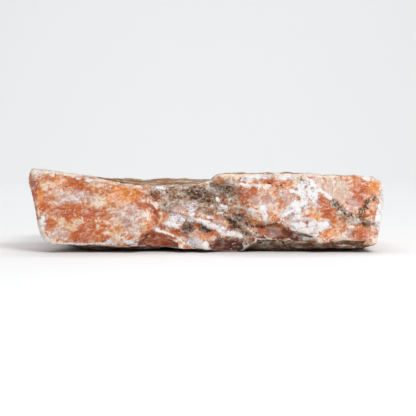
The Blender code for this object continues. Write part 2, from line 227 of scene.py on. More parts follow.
class SlabReliefSettings(bpy.types.PropertyGroup):
    cell: length_prop("Cell", "Size of the even cells that the surface is cut into", 0.0015)
    smoothing: number_prop("Smoothing", "Rounds that soften the solid's facets", 6)
    most_faces: number_prop("Most faces", "Triangles that the surface may keep", 190000)
    lump_size: length_prop("Lump size", "Size of the broken surface's lumps", 0.022)
    lump_depth: length_prop("Lump depth", "Height of the broken surface's lumps", 0.0013)
    shell_size: length_prop("Shell size", "Size of the small shell-shaped hollows", 0.015)
    shell_depth: length_prop("Shell depth", "Depth of the small shell-shaped hollows", 0.0012)
    bed_spacing: length_prop("Bed spacing", "Height of the thin beds that show in weathered places", 0.0062)
    bed_depth: length_prop("Bed depth", "How far the thin beds stand out of each other", 0.0005)
    crust_size: length_prop("Crust size", "Size of the crust's ridges", 0.013)
    crust_depth: length_prop("Crust depth", "Height of the crust's ridges", 0.0018)
    flake_size: length_prop("Flake size", "Size of the sheets that have flaked off the crust", 0.050)
    flake_step: length_prop("Flake step", "Thickness of one sheet of the crust", 0.0013)
    crack_size: length_prop("Crack size", "Distance between cracks in the crust", 0.075)
    crack_depth: length_prop("Crack depth", "Depth of the cracks", 0.0016)
    pit_size: length_prop("Pit size", "Distance between pits in weathered places", 0.009)
    pit_depth: length_prop("Pit depth", "Depth of the pits", 0.0013)
    grain_size: length_prop("Grain size", "Size of the sugary grain", 0.0042)
    grain_depth: length_prop("Grain depth", "Height of the sugary grain", 0.0004)
    chalk_rise: length_prop("Chalk rise", "How far the chalky skin stands out", 0.0006)
    seed: number_prop("Seed", "Picks another pattern of the same kind", 4)


class SlabColourSettings(bpy.types.PropertyGroup):
    orange: colour_prop("Orange", "Main colour of the broken stone", (206, 124, 68))
    rust: colour_prop("Rust", "Darkest tone of the clean broken stone", (194, 92, 40))
    salmon: colour_prop("Salmon", "Light tone of the broken stone", (218, 160, 122))
    shell_pink: colour_prop("Shell pink", "Palest tone of the broken stone", (238, 210, 192))
    amber: colour_prop("Amber", "Clear bright patches", (232, 140, 56))
    mauve: colour_prop("Mauve", "Bruised milky haze", (212, 182, 174))
    cream: colour_prop("Cream", "Translucent pale patches and veins", (238, 204, 164))
    peach: colour_prop("Peach", "Pale flat break with faint drips", (216, 184, 164))
    chalk: colour_prop("Chalk", "White bruised skin", (250, 248, 247))
    # Shade: painted shade in the chalk, its grey-lavender darker tone
    shade: colour_prop("Shade", "Grey tint in the chalk's hollows", (206, 190, 196))
    liver: colour_prop("Liver", "Dark red-brown breaks", (138, 58, 28))
    dust: colour_prop("Dust", "Weathered grey-brown skin", (168, 146, 124))
    umber: colour_prop("Umber", "Brown of the weathered skin's darker streaks", (122, 84, 56))
    # The colour of dirt in cracks and pits, and of painted shadow in hollows, crevices and under the ledge
    soil: colour_prop("Soil", "Dirt in cracks and pits", (62, 40, 28))
    crust: colour_prop("Crust", "Golden brown bedding crust", (152, 98, 46))
    tan: colour_prop("Tan", "Lighter olive tan of the bedding crust", (172, 142, 102))
    pale: colour_prop("Pale", "Palest dusty streaks of the bedding crust", (208, 196, 166))


class ChalkCrumbSettings(bpy.types.PropertyGroup):
    density: number_prop("Density", "Crumbs on a square metre of chalk", 60000.0)
    size: length_prop("Size", "Width of the largest crumb", 0.0017)
    seed: number_prop("Seed", "Picks another scatter", 7)


class StoneStageSettings(bpy.types.PropertyGroup):
    lens: number_prop("Lens", "Focal length in mm", 120.0)
    fill: share_prop("Fill", "How much of the picture's width the slab takes", 0.87)
    elevation: number_prop("Elevation", "Camera height angle in degrees", 2.9)
    floor: colour_prop("Floor", "Colour of the floor and backdrop", (240, 240, 240))
    key: number_prop("Key", "Strength of the main soft light in watts", 19.0)
    fill_light: number_prop("Fill light", "Strength of the side light in watts", 2.5)
    top_light: number_prop("Top light", "Strength of the light above in watts", 5.0)
    wash: number_prop("Wash", "Strength of the backdrop's light in watts", 48.0)
    sky: number_prop("Sky", "Strength of the light from all round", 0.33)


def fill_inputs(tree, node, inputs):
    """Sets or links a node's inputs, given by name or number."""
    for key, value in inputs.items():
        if isinstance(value, bpy.types.NodeSocket):
            tree.links.new(value, node.inputs[key])
        else:
            node.inputs[key].default_value = value


def add_node(tree, kind, inputs=None, **settings):
    """Adds a node, sets its properties and fills its inputs."""
    made = tree.nodes.new(kind)
    for key, value in settings.items():
        setattr(made, key, value)
    fill_inputs(tree, made, inputs or {})
    return made


def maths(tree, operation, first, second=0.0, third=0.0, clamp=False):
    inputs = {0: first, 1: second, 2: third}
    return add_node(tree, "ShaderNodeMath", inputs, operation=operation, use_clamp=clamp).outputs[0]


def chained(operation):
    """A function that works through any number of values with one operation, from the left."""

    def reckon(tree, first, *others):
        for other in others:
            first = maths(tree, operation, first, other)
        return first

    return reckon


times, plus, minus, larger = (chained(name) for name in ("MULTIPLY", "ADD", "SUBTRACT", "MAXIMUM"))


def swayed(tree, value, pattern, amount):
    """The value, raised or lowered by a pattern of 0 to 1."""
    return maths(tree, "MULTIPLY_ADD", minus(tree, pattern, 0.5), amount, value)


def scaled(tree, vector, share):
    inputs = {0: vector, "Scale": share}
    return add_node(tree, "ShaderNodeVectorMath", inputs, operation="SCALE").outputs[0]


def vector_maths(tree, operation, first, second):
    made = add_node(tree, "ShaderNodeVectorMath", {0: first, 1: second}, operation=operation)
    return made.outputs["Value" if operation == "DOT_PRODUCT" else "Vector"]


def remap(tree, value, start, end, low=0.0, high=1.0):
    """Low before start, high after end, smooth between."""
    inputs = {0: value, 1: start, 2: end, 3: low, 4: high}
    return add_node(tree, "ShaderNodeMapRange", inputs, interpolation_type="SMOOTHSTEP").outputs[0]


def scale_for(tree, size):
    """A texture's scale for features of the given size, a number or a socket."""
    return maths(tree, "DIVIDE", 1.0, size) if isinstance(size, bpy.types.NodeSocket) else 1.0 / size


def noise_of(tree, place, size, detail, roughness=0.6, distortion=0.0, kind="FBM"):
    """Noise of 0 to 1 with features of the given size."""
    inputs = {"Vector": place, "Scale": scale_for(tree, size), "Detail": detail}
    inputs.update({"Roughness": roughness, "Distortion": distortion})
    return add_node(tree, "ShaderNodeTexNoise", inputs, noise_type=kind, normalize=True).outputs[0]


def drift_of(tree, place, scale, detail, roughness=0.5):
    """Noise of -0.5 to 0.5 along each axis, for bending a place."""
    inputs = {"Vector": place, "Scale": scale, "Detail": detail, "Roughness": roughness}
    made = add_node(tree, "ShaderNodeTexNoise", inputs)
    return vector_maths(tree, "SUBTRACT", made.outputs["Color"], (0.5, 0.5, 0.5))


def cells_of(tree, place, size, feature="F1"):
    """Distance to the nearest of many scattered points, or to the edge of its cell."""
    inputs = {"Vector": place, "Scale": scale_for(tree, size)}
    return add_node(tree, "ShaderNodeTexVoronoi", inputs, feature=feature).outputs["Distance"]


def stretched(tree, place, scale, turn=0.0):
    """The place turned about the Y axis and stretched, for streaks that run along the bedding."""
    inputs = {"Vector": place, "Angle": math.radians(turn)}
    turned = add_node(tree, "ShaderNodeVectorRotate", inputs, rotation_type="Y_AXIS").outputs[0]
    return vector_maths(tree, "MULTIPLY", turned, scale)


def carried(tree, name):
    """A value that the mesh carries, as a material reads it."""
    return add_node(tree, "ShaderNodeAttribute", attribute_name=name).outputs["Fac"]


def named_value(tree, name):
    """The same, as a Geometry Nodes tree reads it."""
    return add_node(tree, "GeometryNodeInputNamedAttribute", {"Name": name}, data_type="FLOAT").outputs[0]


def stored(tree, geometry, name, value):
    """The geometry, carrying one more value at each point."""
    inputs = {"Geometry": geometry, "Name": name, "Value": value}
    made = add_node(tree, "GeometryNodeStoreNamedAttribute", inputs, data_type="FLOAT", domain="POINT")
    return made.outputs[0]


def blurred(tree, value, rounds, data_type):
    inputs = {"Value": value, "Iterations": rounds}
    return add_node(tree, "GeometryNodeBlurAttribute", inputs, data_type=data_type).outputs[0]


def finished(tree, geometry, material):
    """Ends a Geometry Nodes tree: real faces, in their material."""
    real = add_node(tree, "GeometryNodeRealizeInstances", {"Geometry": geometry}).outputs[0]
    done = add_node(tree, "GeometryNodeSetMaterial", {"Geometry": real, "Material": material}).outputs[0]
    add_node(tree, "NodeGroupOutput", {"Geometry": done})
    return tree


def add_sockets(tree, inputs, outputs):
    """Adds a tree's sockets, each a name and a kind such as Float, and gives what its inputs hold."""
    for way, sockets in (("INPUT", inputs), ("OUTPUT", outputs)):
        for name, kind in sockets.items():
            tree.interface.new_socket(name=name, in_out=way, socket_type="NodeSocket" + kind)
    return add_node(tree, "NodeGroupInput").outputs


def set_inputs(modifier, values):
    """Sets a Geometry Nodes modifier's inputs, given by name, through their identifiers."""
    for item in modifier.node_group.interface.items_tree:
        if item.item_type == "SOCKET" and item.in_out == "INPUT" and item.name in values:
            modifier[item.identifier] = values[item.name]


def baked(obj):
    """Turns what the object's modifiers make of it into its plain mesh."""
    graph = bpy.context.evaluated_depsgraph_get()
    made = bpy.data.meshes.new_from_object(obj.evaluated_get(graph), depsgraph=graph)
    obj.modifiers.clear()
    old = obj.data
    obj.data = made
    if old.users == 0:
        bpy.data.meshes.remove(old)
    return obj


def step(value, start, end):
    """0 before start, 1 after end, smooth between, for an array."""
    share = np.clip((value - start) / (end - start), 0.0, 1.0)
    return share * share * (3.0 - 2.0 * share)


def lumps(points, size, seed, octaves=3):
    """Fractal noise of about 0 to 1 at each point, with lumps of the given size in mm."""
    shift = Vector((11.3, 5.7, 8.9)) * seed
    values = [noise.fractal(Vector(point) / size + shift, 0.8, 2.1, octaves) for point in points]
    return 0.5 + 0.5 * np.array(values)


def in_patches(along, up, patches):
    """How deep points lie in the nearest patch: 1 at its middle, 0.5 at its rim, 0 at twice its size."""
    best = np.zeros_like(along)
    for middle, height, half_along, half_up, turn in patches:
        cosine, sine = math.cos(math.radians(turn)), math.sin(math.radians(turn))
        across, rise = along - middle, up - height
        run = (across * cosine + rise * sine) / half_along
        climb = (rise * cosine - across * sine) / half_up
        best = np.maximum(best, 1.0 - 0.5 * np.hypot(run, climb))
    return best


def on_strokes(along, up, strokes):
    """The same for the nearest stroke: 1 on its line and 0.5 at half its width from it."""
    best = np.zeros_like(along)
    for half_width, line in strokes:
        for (x0, z0), (x1, z1) in zip(line, line[1:]):
            reach = ((along - x0) * (x1 - x0) + (up - z0) * (z1 - z0)) / ((x1 - x0) ** 2 + (z1 - z0) ** 2)
            reach = np.clip(reach, 0.0, 1.0)
            away = np.hypot(along - x0 - reach * (x1 - x0), up - z0 - reach * (z1 - z0))
            best = np.maximum(best, 1.0 - 0.5 * away / half_width)
    return best


def under_shells(along, up):
    """1 well below the upper edge of a shell-shaped break, 0.5 on the edge."""
    best = np.zeros_like(along)
    for edge in SHELL_EDGES:
        top = np.interp(along, *zip(*edge), left=OUT_OF_REACH, right=OUT_OF_REACH)
        best = np.maximum(best, np.clip(0.5 + (top - up) / SHELL_BLEND, 0.0, 1.0))
    return best


def surface_kinds(mesh):
    """Where each kind of surface lies, as one value of 0 to 1 for every point of the mesh."""
    count = len(mesh.vertices)
    points, normals = np.empty(count * 3), np.empty(count * 3)
    mesh.vertices.foreach_get("co", points)
    mesh.vertex_normals.foreach_get("vector", normals)
    points, normals = points.reshape(-1, 3) / MM, normals.reshape(-1, 3)
    behind = points[:, 1] - LOW.y / MM
    seen = VIEW_DISTANCE / (VIEW_DISTANCE + behind)
    along = VIEW_STRETCH * points[:, 0] * seen + VIEW_SHIFT + 5 * (lumps(points, 12, 1) - 0.5)
    up = VIEW_HEIGHT + (points[:, 2] - VIEW_HEIGHT) * seen + 4 * (lumps(points, 10, 2) - 0.5)
    bed = step(normals[:, 2], *BED_SLOPES) * step(points[:, 2], *BED_HEIGHTS)
    under = step(-normals[:, 2], *UNDER_SLOPES) * step(points[:, 2], *UNDER_HEIGHTS)
    foot = np.interp(along, *zip(*FOOT_EDGE), left=OUT_OF_REACH, right=OUT_OF_REACH)
    near = step(behind, FRONT_BAND, FRONT_END)
    under = np.maximum(under, step(foot - up, -1.0, 1.5) * near)
    front = near * (1 - under)
    side = (1 - front) * (1 - np.maximum(bed, under))
    front = front * (1 - bed * step(behind, 3, 8))
    broad = lumps(points, 60, 3)
    patchy = lumps(points, 30, 4, 4)
    bands = lumps(points * (0.8, 0.8, 1.1), 25, 5, 4)
    bed_front = bed * step(behind, 4, 10)
    # Off the front, a kind lies where its pattern is strong. Its rim is at 0.5
    elsewhere = {
        "chalk": 0.5 + 1.7 * (bands - 0.77),
        "haze": 0.5 + 1.8 * (patchy - 0.62),
        "amber": 0.5 + 1.8 * (0.32 - patchy),
        "cream": 0.5 + 1.9 * (0.34 - bands),
        "rust": 0.5 + 2.0 * (0.42 - broad),
        "weathered": 0.5 + 2.0 * (0.6 * broad + 0.4 * patchy - 0.62),
        "liver": 0.5 + 2.0 * (0.6 * (1 - broad) + 0.4 * bands - 0.69),
        "soil": 0.5 + 2.0 * (broad * bands - 0.50),
        "peach": 0.5 + 1.8 * (0.30 - broad),
        "dark": 0.5 + 1.8 * (0.5 * patchy + 0.5 * bands - 0.70),
    }
    kinds = {"crust": np.maximum(bed_front, under), "under": under}
    shells = under_shells(along, up)
    for name, value in elsewhere.items():
        placed = in_patches(along, up, PATCHES.get(name, []))
        placed = np.maximum(placed, on_strokes(along, up, STROKES.get(name, [])))
        if name == "liver":
            placed = np.maximum(placed, shells)
        if name in ("chalk", "weathered"):
            placed *= 1 - 0.8 * step(shells, 0.45, 0.7)
        kinds[name] = front * placed + side * value
    return kinds


OUTSIDE_RELIEF = ("cell", "smoothing", "most_faces", "seed")
RELIEF_INPUTS = [name for name in SlabReliefSettings.__annotations__ if name not in OUTSIDE_RELIEF]


def socket_name(name):
    return name.replace("_", " ").capitalize()


def relief_tree():
    """The fine relief of the slab, as one tree with its sizes as inputs."""
    tree = bpy.data.node_groups.new("stone_relief", "GeometryNodeTree")
    inputs = {"Geometry": "Geometry", "Seed": "Float", "Material": "Material"}
    inputs.update({socket_name(name): "Float" for name in RELIEF_INPUTS})
    given = add_sockets(tree, inputs, {"Geometry": "Geometry"})
    position = add_node(tree, "GeometryNodeInputPosition").outputs[0]
    normal = add_node(tree, "GeometryNodeInputNormal").outputs[0]
    shift = add_node(tree, "ShaderNodeCombineXYZ", {0: given["Seed"], 1: given["Seed"]}).outputs[0]
    place = vector_maths(tree, "ADD", position, shift)

    weathered = remap(tree, named_value(tree, "weathered"), 0.35, 0.62)
    crust = remap(tree, named_value(tree, "crust"), 0.3, 0.8)
    chalk = remap(tree, named_value(tree, "chalk"), 0.40, 0.66)
    bare = minus(tree, 1.0, crust)
    worn = larger(tree, weathered, crust)
    rough = remap(tree, worn, 0.0, 1.0, 0.35, 1.0)

    lump = minus(tree, noise_of(tree, place, given["Lump size"], 5.0, 0.55), 0.5)
    lump = times(tree, lump, 2.0, given["Lump depth"], rough)

    bent = noise_of(tree, place, given["Shell size"], 2.0, 0.5)
    bent_place = vector_maths(tree, "ADD", place, scaled(tree, normal, bent))
    away = cells_of(tree, bent_place, given["Shell size"])
    shell = minus(tree, times(tree, away, away), 0.35)
    shell = times(tree, shell, given["Shell depth"], bare)

    axes = add_node(tree, "ShaderNodeSeparateXYZ", {0: place}).outputs
    sway = times(tree, noise_of(tree, place, 0.045, 3.0, 0.6), 0.03)
    level = plus(tree, axes[2], times(tree, axes[0], 0.42), sway)
    part = maths(tree, "FRACT", maths(tree, "DIVIDE", level, given["Bed spacing"]))
    broken = remap(tree, noise_of(tree, place, 0.02, 3.0, 0.6), 0.42, 0.62)
    beds = times(tree, remap(tree, part, 0.0, 0.70), remap(tree, part, 1.0, 0.78), broken)
    beds = times(tree, beds, given["Bed depth"], times(tree, weathered, bare))

    long_place = stretched(tree, place, (0.45, 1.0, 1.0))
    ridges = noise_of(tree, long_place, given["Crust size"], 6.0, 0.62, 0.6, "RIDGED_MULTIFRACTAL")
    ridges = times(tree, minus(tree, ridges, 0.5), given["Crust depth"], crust)

    sheets = times(tree, noise_of(tree, long_place, given["Flake size"], 4.0, 0.55, 0.5), 9.0)
    sheet = plus(tree, maths(tree, "FLOOR", sheets), remap(tree, maths(tree, "FRACT", sheets), 0.0, 0.22))
    sheet = times(tree, minus(tree, sheet, 5.0), given["Flake step"], crust)

    bend = drift_of(tree, place, 28.0, 5.0, 0.6)
    crack_place = vector_maths(tree, "ADD", place, scaled(tree, bend, 0.055))
    gap = cells_of(tree, crack_place, given["Crack size"], "DISTANCE_TO_EDGE")
    cracked = remap(tree, noise_of(tree, place, 0.07, 3.0, 0.6), 0.50, 0.58)
    crack = times(tree, remap(tree, gap, 0.030, 0.008), crust, cracked)

    hole = remap(tree, cells_of(tree, place, given["Pit size"]), 0.34, 0.12)
    pitted = remap(tree, noise_of(tree, place, 0.03, 2.0), 0.45, 0.6)
    hole = times(tree, hole, pitted, given["Pit depth"], worn)

    sugar = minus(tree, noise_of(tree, place, given["Grain size"], 3.0, 0.65), 0.5)
    sugar = times(tree, sugar, 2.0, given["Grain depth"], remap(tree, rough, 0.0, 1.0, 0.3, 1.0))

    skin = remap(tree, noise_of(tree, place, 0.009, 5.0, 0.7), 0.40, 0.62)
    skin = times(tree, skin, chalk, given["Chalk rise"])

    total = plus(tree, lump, shell, beds, ridges, sheet)
    total = minus(tree, total, times(tree, crack, given["Crack depth"]), hole)
    total = plus(tree, total, sugar, skin)
    height = add_node(tree, "ShaderNodeSeparateXYZ", {0: position}).outputs[2]
    total = times(tree, total, remap(tree, height, 0.0004, 0.0035))
    inputs = {"Geometry": given["Geometry"], "Offset": scaled(tree, normal, total)}
    moved = add_node(tree, "GeometryNodeSetPosition", inputs).outputs[0]

    # How far each point stands out of what lies close round it, and further round it, in mm
    for name, rounds in (("edge", 4), ("ridge", 14)):
        away = vector_maths(tree, "SUBTRACT", position, blurred(tree, position, rounds, "FLOAT_VECTOR"))
        stands_out = vector_maths(tree, "DOT_PRODUCT", away, normal)
        moved = stored(tree, moved, name, times(tree, stands_out, 1.0 / MM))

    # The strip of crust that bare stone is near
    crust_place = named_value(tree, "crust")
    covered = plus(tree, crust_place, named_value(tree, "weathered"))
    rim = remap(tree, blurred(tree, covered, 70, "FLOAT"), 0.97, 0.62)
    rim = times(tree, rim, minus(tree, crust_place, named_value(tree, "under")))
    moved = stored(tree, moved, "crack", crack)
    moved = stored(tree, moved, "rim", rim)
    return finished(tree, moved, given["Material"])


def ragged_mask_group():
    """Turns a soft place into a ragged patch: its value is pushed about by noise and cut off at a half."""
    tree = bpy.data.node_groups.new("ragged_mask", "ShaderNodeTree")
    names = ("Place", "Noise", "Raggedness", "Softness")
    given = add_sockets(tree, dict.fromkeys(names, "Float"), {"Mask": "Float"})
    pushed = times(tree, minus(tree, given["Noise"], 0.5), given["Raggedness"])
    value = plus(tree, given["Place"], pushed)
    start = minus(tree, 0.5, given["Softness"])
    end = plus(tree, 0.5, given["Softness"])
    near = remap(tree, given["Place"], 0.12, 0.34)
    add_node(tree, "NodeGroupOutput", {"Mask": times(tree, remap(tree, value, start, end), near)})
    return tree


def sugar_group():
    """The sugary grain of alabaster: its height for a bump, and a mosaic of crystals for its colour."""
    tree = bpy.data.node_groups.new("sugary_grain", "ShaderNodeTree")
    outputs = {"Height": "Float", "Mosaic": "Float"}
    given = add_sockets(tree, {"Vector": "Vector", "Size": "Float"}, outputs)
    size = given["Size"]
    sway = scaled(tree, drift_of(tree, given["Vector"], 300.0, 2.0), size)
    place = vector_maths(tree, "ADD", given["Vector"], scaled(tree, sway, 1.6))
    inputs = {"Vector": place, "Scale": maths(tree, "DIVIDE", 1.0, size)}
    crystals = add_node(tree, "ShaderNodeTexVoronoi", inputs, feature="F1").outputs
    fine = noise_of(tree, given["Vector"], size, 5.0, 0.72)
    height = maths(tree, "MULTIPLY_ADD", crystals["Distance"], 0.35, times(tree, fine, 0.65))
    add_node(tree, "NodeGroupOutput", {"Height": height, "Mosaic": crystals["Color"]})
    return tree


def colours_of(settings):
    return {name: (*getattr(settings, name), 1.0) for name in SlabColourSettings.__annotations__}


def layer(tree, below, above, mask, way="MIX"):
    """A colour laid over another where the mask is 1. Each may be a colour or a socket."""
    inputs = {0: mask, 6: below, 7: above}
    made = add_node(tree, "ShaderNodeMix", inputs, data_type="RGBA", clamp_factor=True, blend_type=way)
    return made.outputs[2]


def tones(tree, value, stops):
    """A colour ramp through the stops, each a place and a colour."""
    made = add_node(tree, "ShaderNodeValToRGB", {0: value})
    ramp = made.color_ramp
    while len(ramp.elements) < len(stops):
        ramp.elements.new(0.5)
    for element, (place, shade) in zip(ramp.elements, stops):
        element.position = place
        element.color = shade
    return made.outputs[0]


def lighter(shade, share):
    return tuple(part + (1.0 - part) * share for part in shade[:3]) + (1.0,)


def darker(shade, share):
    return tuple(part * (1.0 - share) for part in shade[:3]) + (1.0,)


def new_material(name):
    """A material, its tree and its shader."""
    material = bpy.data.materials.new(name)
    material.use_nodes = True
    tree = material.node_tree
    return material, tree, tree.nodes["Principled BSDF"]


STONE_SHINE = {
    "Metallic": 0.0,
    "IOR": 1.52,
    "Specular IOR Level": 0.32,
    "Subsurface Weight": 0.10,
    "Subsurface Radius": (1.0, 0.42, 0.22),
    "Subsurface Scale": 0.003,
}


def stone_material(settings, mask_group, grain_group):
    """The alabaster: mottled orange with haze, veins and chalk, a weathered skin and a brown crust."""
    material, tree, shader = new_material("orange_alabaster")
    shades = colours_of(settings)
    place = add_node(tree, "ShaderNodeTexCoord").outputs["Object"]

    broad = noise_of(tree, place, 0.060, 4.0, 0.55, 0.4)
    mottle = noise_of(tree, place, 0.0125, 6.0, 0.64, 0.9)
    fine = noise_of(tree, place, 0.0050, 6.0, 0.74, 0.4)
    ragged = noise_of(tree, place, 0.009, 8.0, 0.80, 0.2)
    streaks = noise_of(tree, stretched(tree, place, (0.5, 0.7, 1.2), 12.0), 0.0075, 6.0, 0.68, 0.9)
    inputs = {"Vector": place, "Size": 0.0026}
    grain = add_node(tree, "ShaderNodeGroup", inputs, node_tree=grain_group).outputs
    detail = maths(tree, "MULTIPLY_ADD", fine, 0.9, times(tree, streaks, 1.7))
    detail = maths(tree, "MULTIPLY_ADD", grain["Mosaic"], 0.22, detail)
    detail = maths(tree, "SUBTRACT", detail, 0.91, clamp=True)

    def kind(name, raggedness, softness, pattern=ragged):
        inputs = {"Place": carried(tree, name), "Noise": pattern}
        inputs.update({"Raggedness": raggedness, "Softness": softness})
        return add_node(tree, "ShaderNodeGroup", inputs, node_tree=mask_group).outputs["Mask"]

    def lively(shade, dark, light):
        """The shade, darker and lighter by these shares in the fine pattern's low and high places."""
        stops = [(0.25, darker(shade, dark)), (0.50, shade), (0.78, lighter(shade, light))]
        return tones(tree, detail, stops)

    def ramped(value, *stops):
        return tones(tree, value, [(at, shades[name]) for at, name in stops])

    def laid(below, shade, mask, share=1.0):
        return layer(tree, below, shade, times(tree, mask, share) if share < 1.0 else mask)

    tone = swayed(tree, detail, broad, 0.5)
    tone = swayed(tree, tone, mottle, 1.5)
    shown = ramped(tone, (0.22, "rust"), (0.42, "orange"), (0.60, "salmon"), (0.80, "shell_pink"))
    rusty = kind("rust", 1.2, 0.16, mottle)
    for name, dark, light, mask, share in (
        ("rust", 0.30, 0.26, rusty, 0.85),
        ("cream", 0.30, 0.55, kind("cream", 1.6, 0.20, mottle), 0.78),
        ("amber", 0.24, 0.30, kind("amber", 1.2, 0.16, mottle), 0.90),
        ("mauve", 0.30, 0.65, kind("haze", 2.4, 0.20), 0.72),
    ):
        shown = laid(shown, lively(shades[name], dark, light), mask, share)
    drips = noise_of(tree, stretched(tree, place, (1.0, 1.0, 0.22), -12.0), 0.0036, 4.0, 0.60, 0.3)
    peach = shades["peach"]
    stops = [(0.34, darker(peach, 0.28)), (0.52, peach), (0.72, lighter(peach, 0.60))]
    shown = laid(shown, tones(tree, drips, stops), kind("peach", 1.0, 0.14, mottle), 0.82)
    thread = maths(tree, "ABSOLUTE", minus(tree, noise_of(tree, place, 0.020, 5.0, 0.62, 1.2), 0.5))
    vein = times(tree, remap(tree, thread, 0.014, 0.004), remap(tree, mottle, 0.46, 0.58))
    shown = laid(shown, lighter(shades["cream"], 0.5), vein, 0.65)
    flecks = remap(tree, noise_of(tree, place, 0.0048, 5.0, 0.74, 0.3), 0.58, 0.64)
    shown = laid(shown, shades["chalk"], flecks, 0.62)
    rusty_liver = laid(lively(shades["liver"], 0.45, 0.34), lively(shades["rust"], 0.52, 0.24), rusty, 0.75)
    shown = laid(shown, rusty_liver, kind("liver", 0.7, 0.10), 0.94)

    weathered = kind("weathered", 1.8, 0.20)
    earthy = swayed(tree, detail, ragged, 0.8)
    dust = shades["dust"]
    stops = [(0.08, shades["soil"]), (0.28, shades["umber"]), (0.47, dust), (0.76, lighter(dust, 0.65))]
    shown = laid(shown, tones(tree, earthy, stops), weathered, 0.88)

    crust = kind("crust", 0.7, 0.12)
    patch = noise_of(tree, place, 0.045, 6.0, 0.62, 0.6)
    long_streaks = noise_of(tree, stretched(tree, place, (0.35, 0.9, 1.0)), 0.016, 6.0, 0.66, 1.0)
    earth = maths(tree, "MULTIPLY_ADD", detail, 0.70, 0.14)
    earth = swayed(tree, earth, mottle, 1.2)
    earth = swayed(tree, earth, patch, 1.8)
    stops = ((0.08, "soil"), (0.30, "umber"), (0.50, "crust"), (0.74, "tan"), (0.96, "pale"))
    crusty = ramped(earth, *stops)
    crusty = laid(crusty, lively(shades["pale"], 0.30, 0.30), remap(tree, long_streaks, 0.54, 0.68), 0.50)
    crusty = laid(crusty, lively(shades["dust"], 0.35, 0.40), remap(tree, broad, 0.50, 0.38), 0.50)
    rim = swayed(tree, carried(tree, "rim"), ragged, 2.4)
    rim = remap(tree, swayed(tree, rim, mottle, 2.0), 0.42, 0.90)
    crusty = laid(crusty, lively(lighter(shades["pale"], 0.28), 0.30, 0.60), rim, 0.72)
    under = carried(tree, "under")
    # The underside's crust in darker umber: partly its own brown, partly painted shade on the downward faces
    # and below the foot
    crusty = laid(crusty, lively(darker(shades["umber"], 0.35), 0.45, 0.22), under, 0.70)
    crusty = laid(crusty, shades["chalk"], times(tree, flecks, remap(tree, patch, 0.46, 0.58)), 0.34)
    crack = remap(tree, carried(tree, "crack"), 0.25, 0.80)
    crusty = laid(crusty, shades["soil"], crack, 0.85)
    shown = laid(shown, crusty, crust)

    # Dark places, multiplied darker: painted shadow on the front, dark stains off it
    shadowed_and_stained = layer(tree, shown, SHADOW_AND_STAIN, 1.0, "MULTIPLY")
    shown = laid(shown, shadowed_and_stained, kind("dark", 1.8, 0.22), 0.62)
    # Dark specks where soil lies: dirt, and painted shadow in crevices
    speckle = remap(tree, noise_of(tree, place, 0.0042, 5.0, 0.75, 0.4), 0.45, 0.51)
    soil = times(tree, kind("soil", 4.0, 0.10, fine), speckle)
    shown = laid(shown, darker(shades["soil"], 0.35), soil, 0.92)
    shown = laid(shown, shades["chalk"], kind("chalk", 5.0, 0.25, fine), 0.45)
    chalk = kind("chalk", 2.6, 0.05)
    # The chalk in two tones by a noise pattern: white, and grey-lavender painted shade
    chalk_shading = swayed(tree, detail, ragged, 1.4)
    stops = [(0.14, darker(shades["shade"], 0.15)), (0.32, shades["shade"]), (0.46, shades["chalk"])]
    shown = laid(shown, tones(tree, chalk_shading, stops), chalk, 0.95)

    worn = swayed(tree, carried(tree, "ridge"), ragged, 1.5)
    worn = swayed(tree, worn, noise_of(tree, place, 0.022, 2.0), 2.2)
    covered = times(tree, crust, 0.6)
    for mask, share in ((weathered, 0.85), (rusty, 0.90), (under, 0.8)):
        covered = larger(tree, covered, times(tree, mask, share))
    worn = times(tree, remap(tree, worn, 0.42, 0.66), minus(tree, 1.0, covered))
    worn_shade = laid(lighter(shades["cream"], 0.62), shades["salmon"], remap(tree, mottle, 0.50, 0.62), 0.5)
    shown = laid(shown, worn_shade, worn, 0.85)
    # Hollows, darker than what lies round them: dirt, and painted shade; more in weathered places
    hollow = swayed(tree, carried(tree, "edge"), ragged, 0.5)
    hollow_darkening_share = maths(tree, "MULTIPLY_ADD", weathered, 0.45, 0.35)
    hollow_dirt_and_shade = times(tree, remap(tree, hollow, -0.14, -0.34), hollow_darkening_share)
    shown = laid(shown, shades["soil"], hollow_dirt_and_shade)

    matt = larger(tree, chalk, crust, weathered)
    roughness = remap(tree, maths(tree, "MULTIPLY_ADD", fine, 0.25, matt), 0.0, 1.1, 0.30, 0.92)
    height = maths(tree, "MULTIPLY_ADD", fine, 1.5, grain["Height"])
    height = maths(tree, "MULTIPLY_ADD", ragged, maths(tree, "MULTIPLY_ADD", matt, 1.4, 0.5), height)
    bump = add_node(tree, "ShaderNodeBump", {"Strength": 0.70, "Distance": 0.0014, "Height": height})
    fill_inputs(tree, shader, {"Base Color": shown, "Roughness": roughness, "Normal": bump.outputs["Normal"]})
    fill_inputs(tree, shader, STONE_SHINE)
    return material


def crumb_material(settings, grain_group):
    """Chalk in loose crumbs: white, pink in places."""
    material, tree, shader = new_material("chalk_crumb")
    shades = colours_of(settings)
    place = add_node(tree, "ShaderNodeTexCoord").outputs["Object"]
    inputs = {"Vector": place, "Size": 0.0008}
    grain = add_node(tree, "ShaderNodeGroup", inputs, node_tree=grain_group).outputs
    tint = remap(tree, noise_of(tree, place, 0.006, 3.0), 0.45, 0.62)
    shade = layer(tree, shades["chalk"], shades["shell_pink"], times(tree, tint, 0.7))
    inputs = {"Strength": 0.4, "Distance": 0.0004, "Height": grain["Height"]}
    bump = add_node(tree, "ShaderNodeBump", inputs)
    fill_inputs(tree, shader, {"Base Color": shade, "Roughness": 0.85, "Normal": bump.outputs["Normal"]})
    return material


def new_object(name, data):
    """An object in the scene."""
    made = bpy.data.objects.new(name, data)
    bpy.context.scene.collection.objects.link(made)
    return made


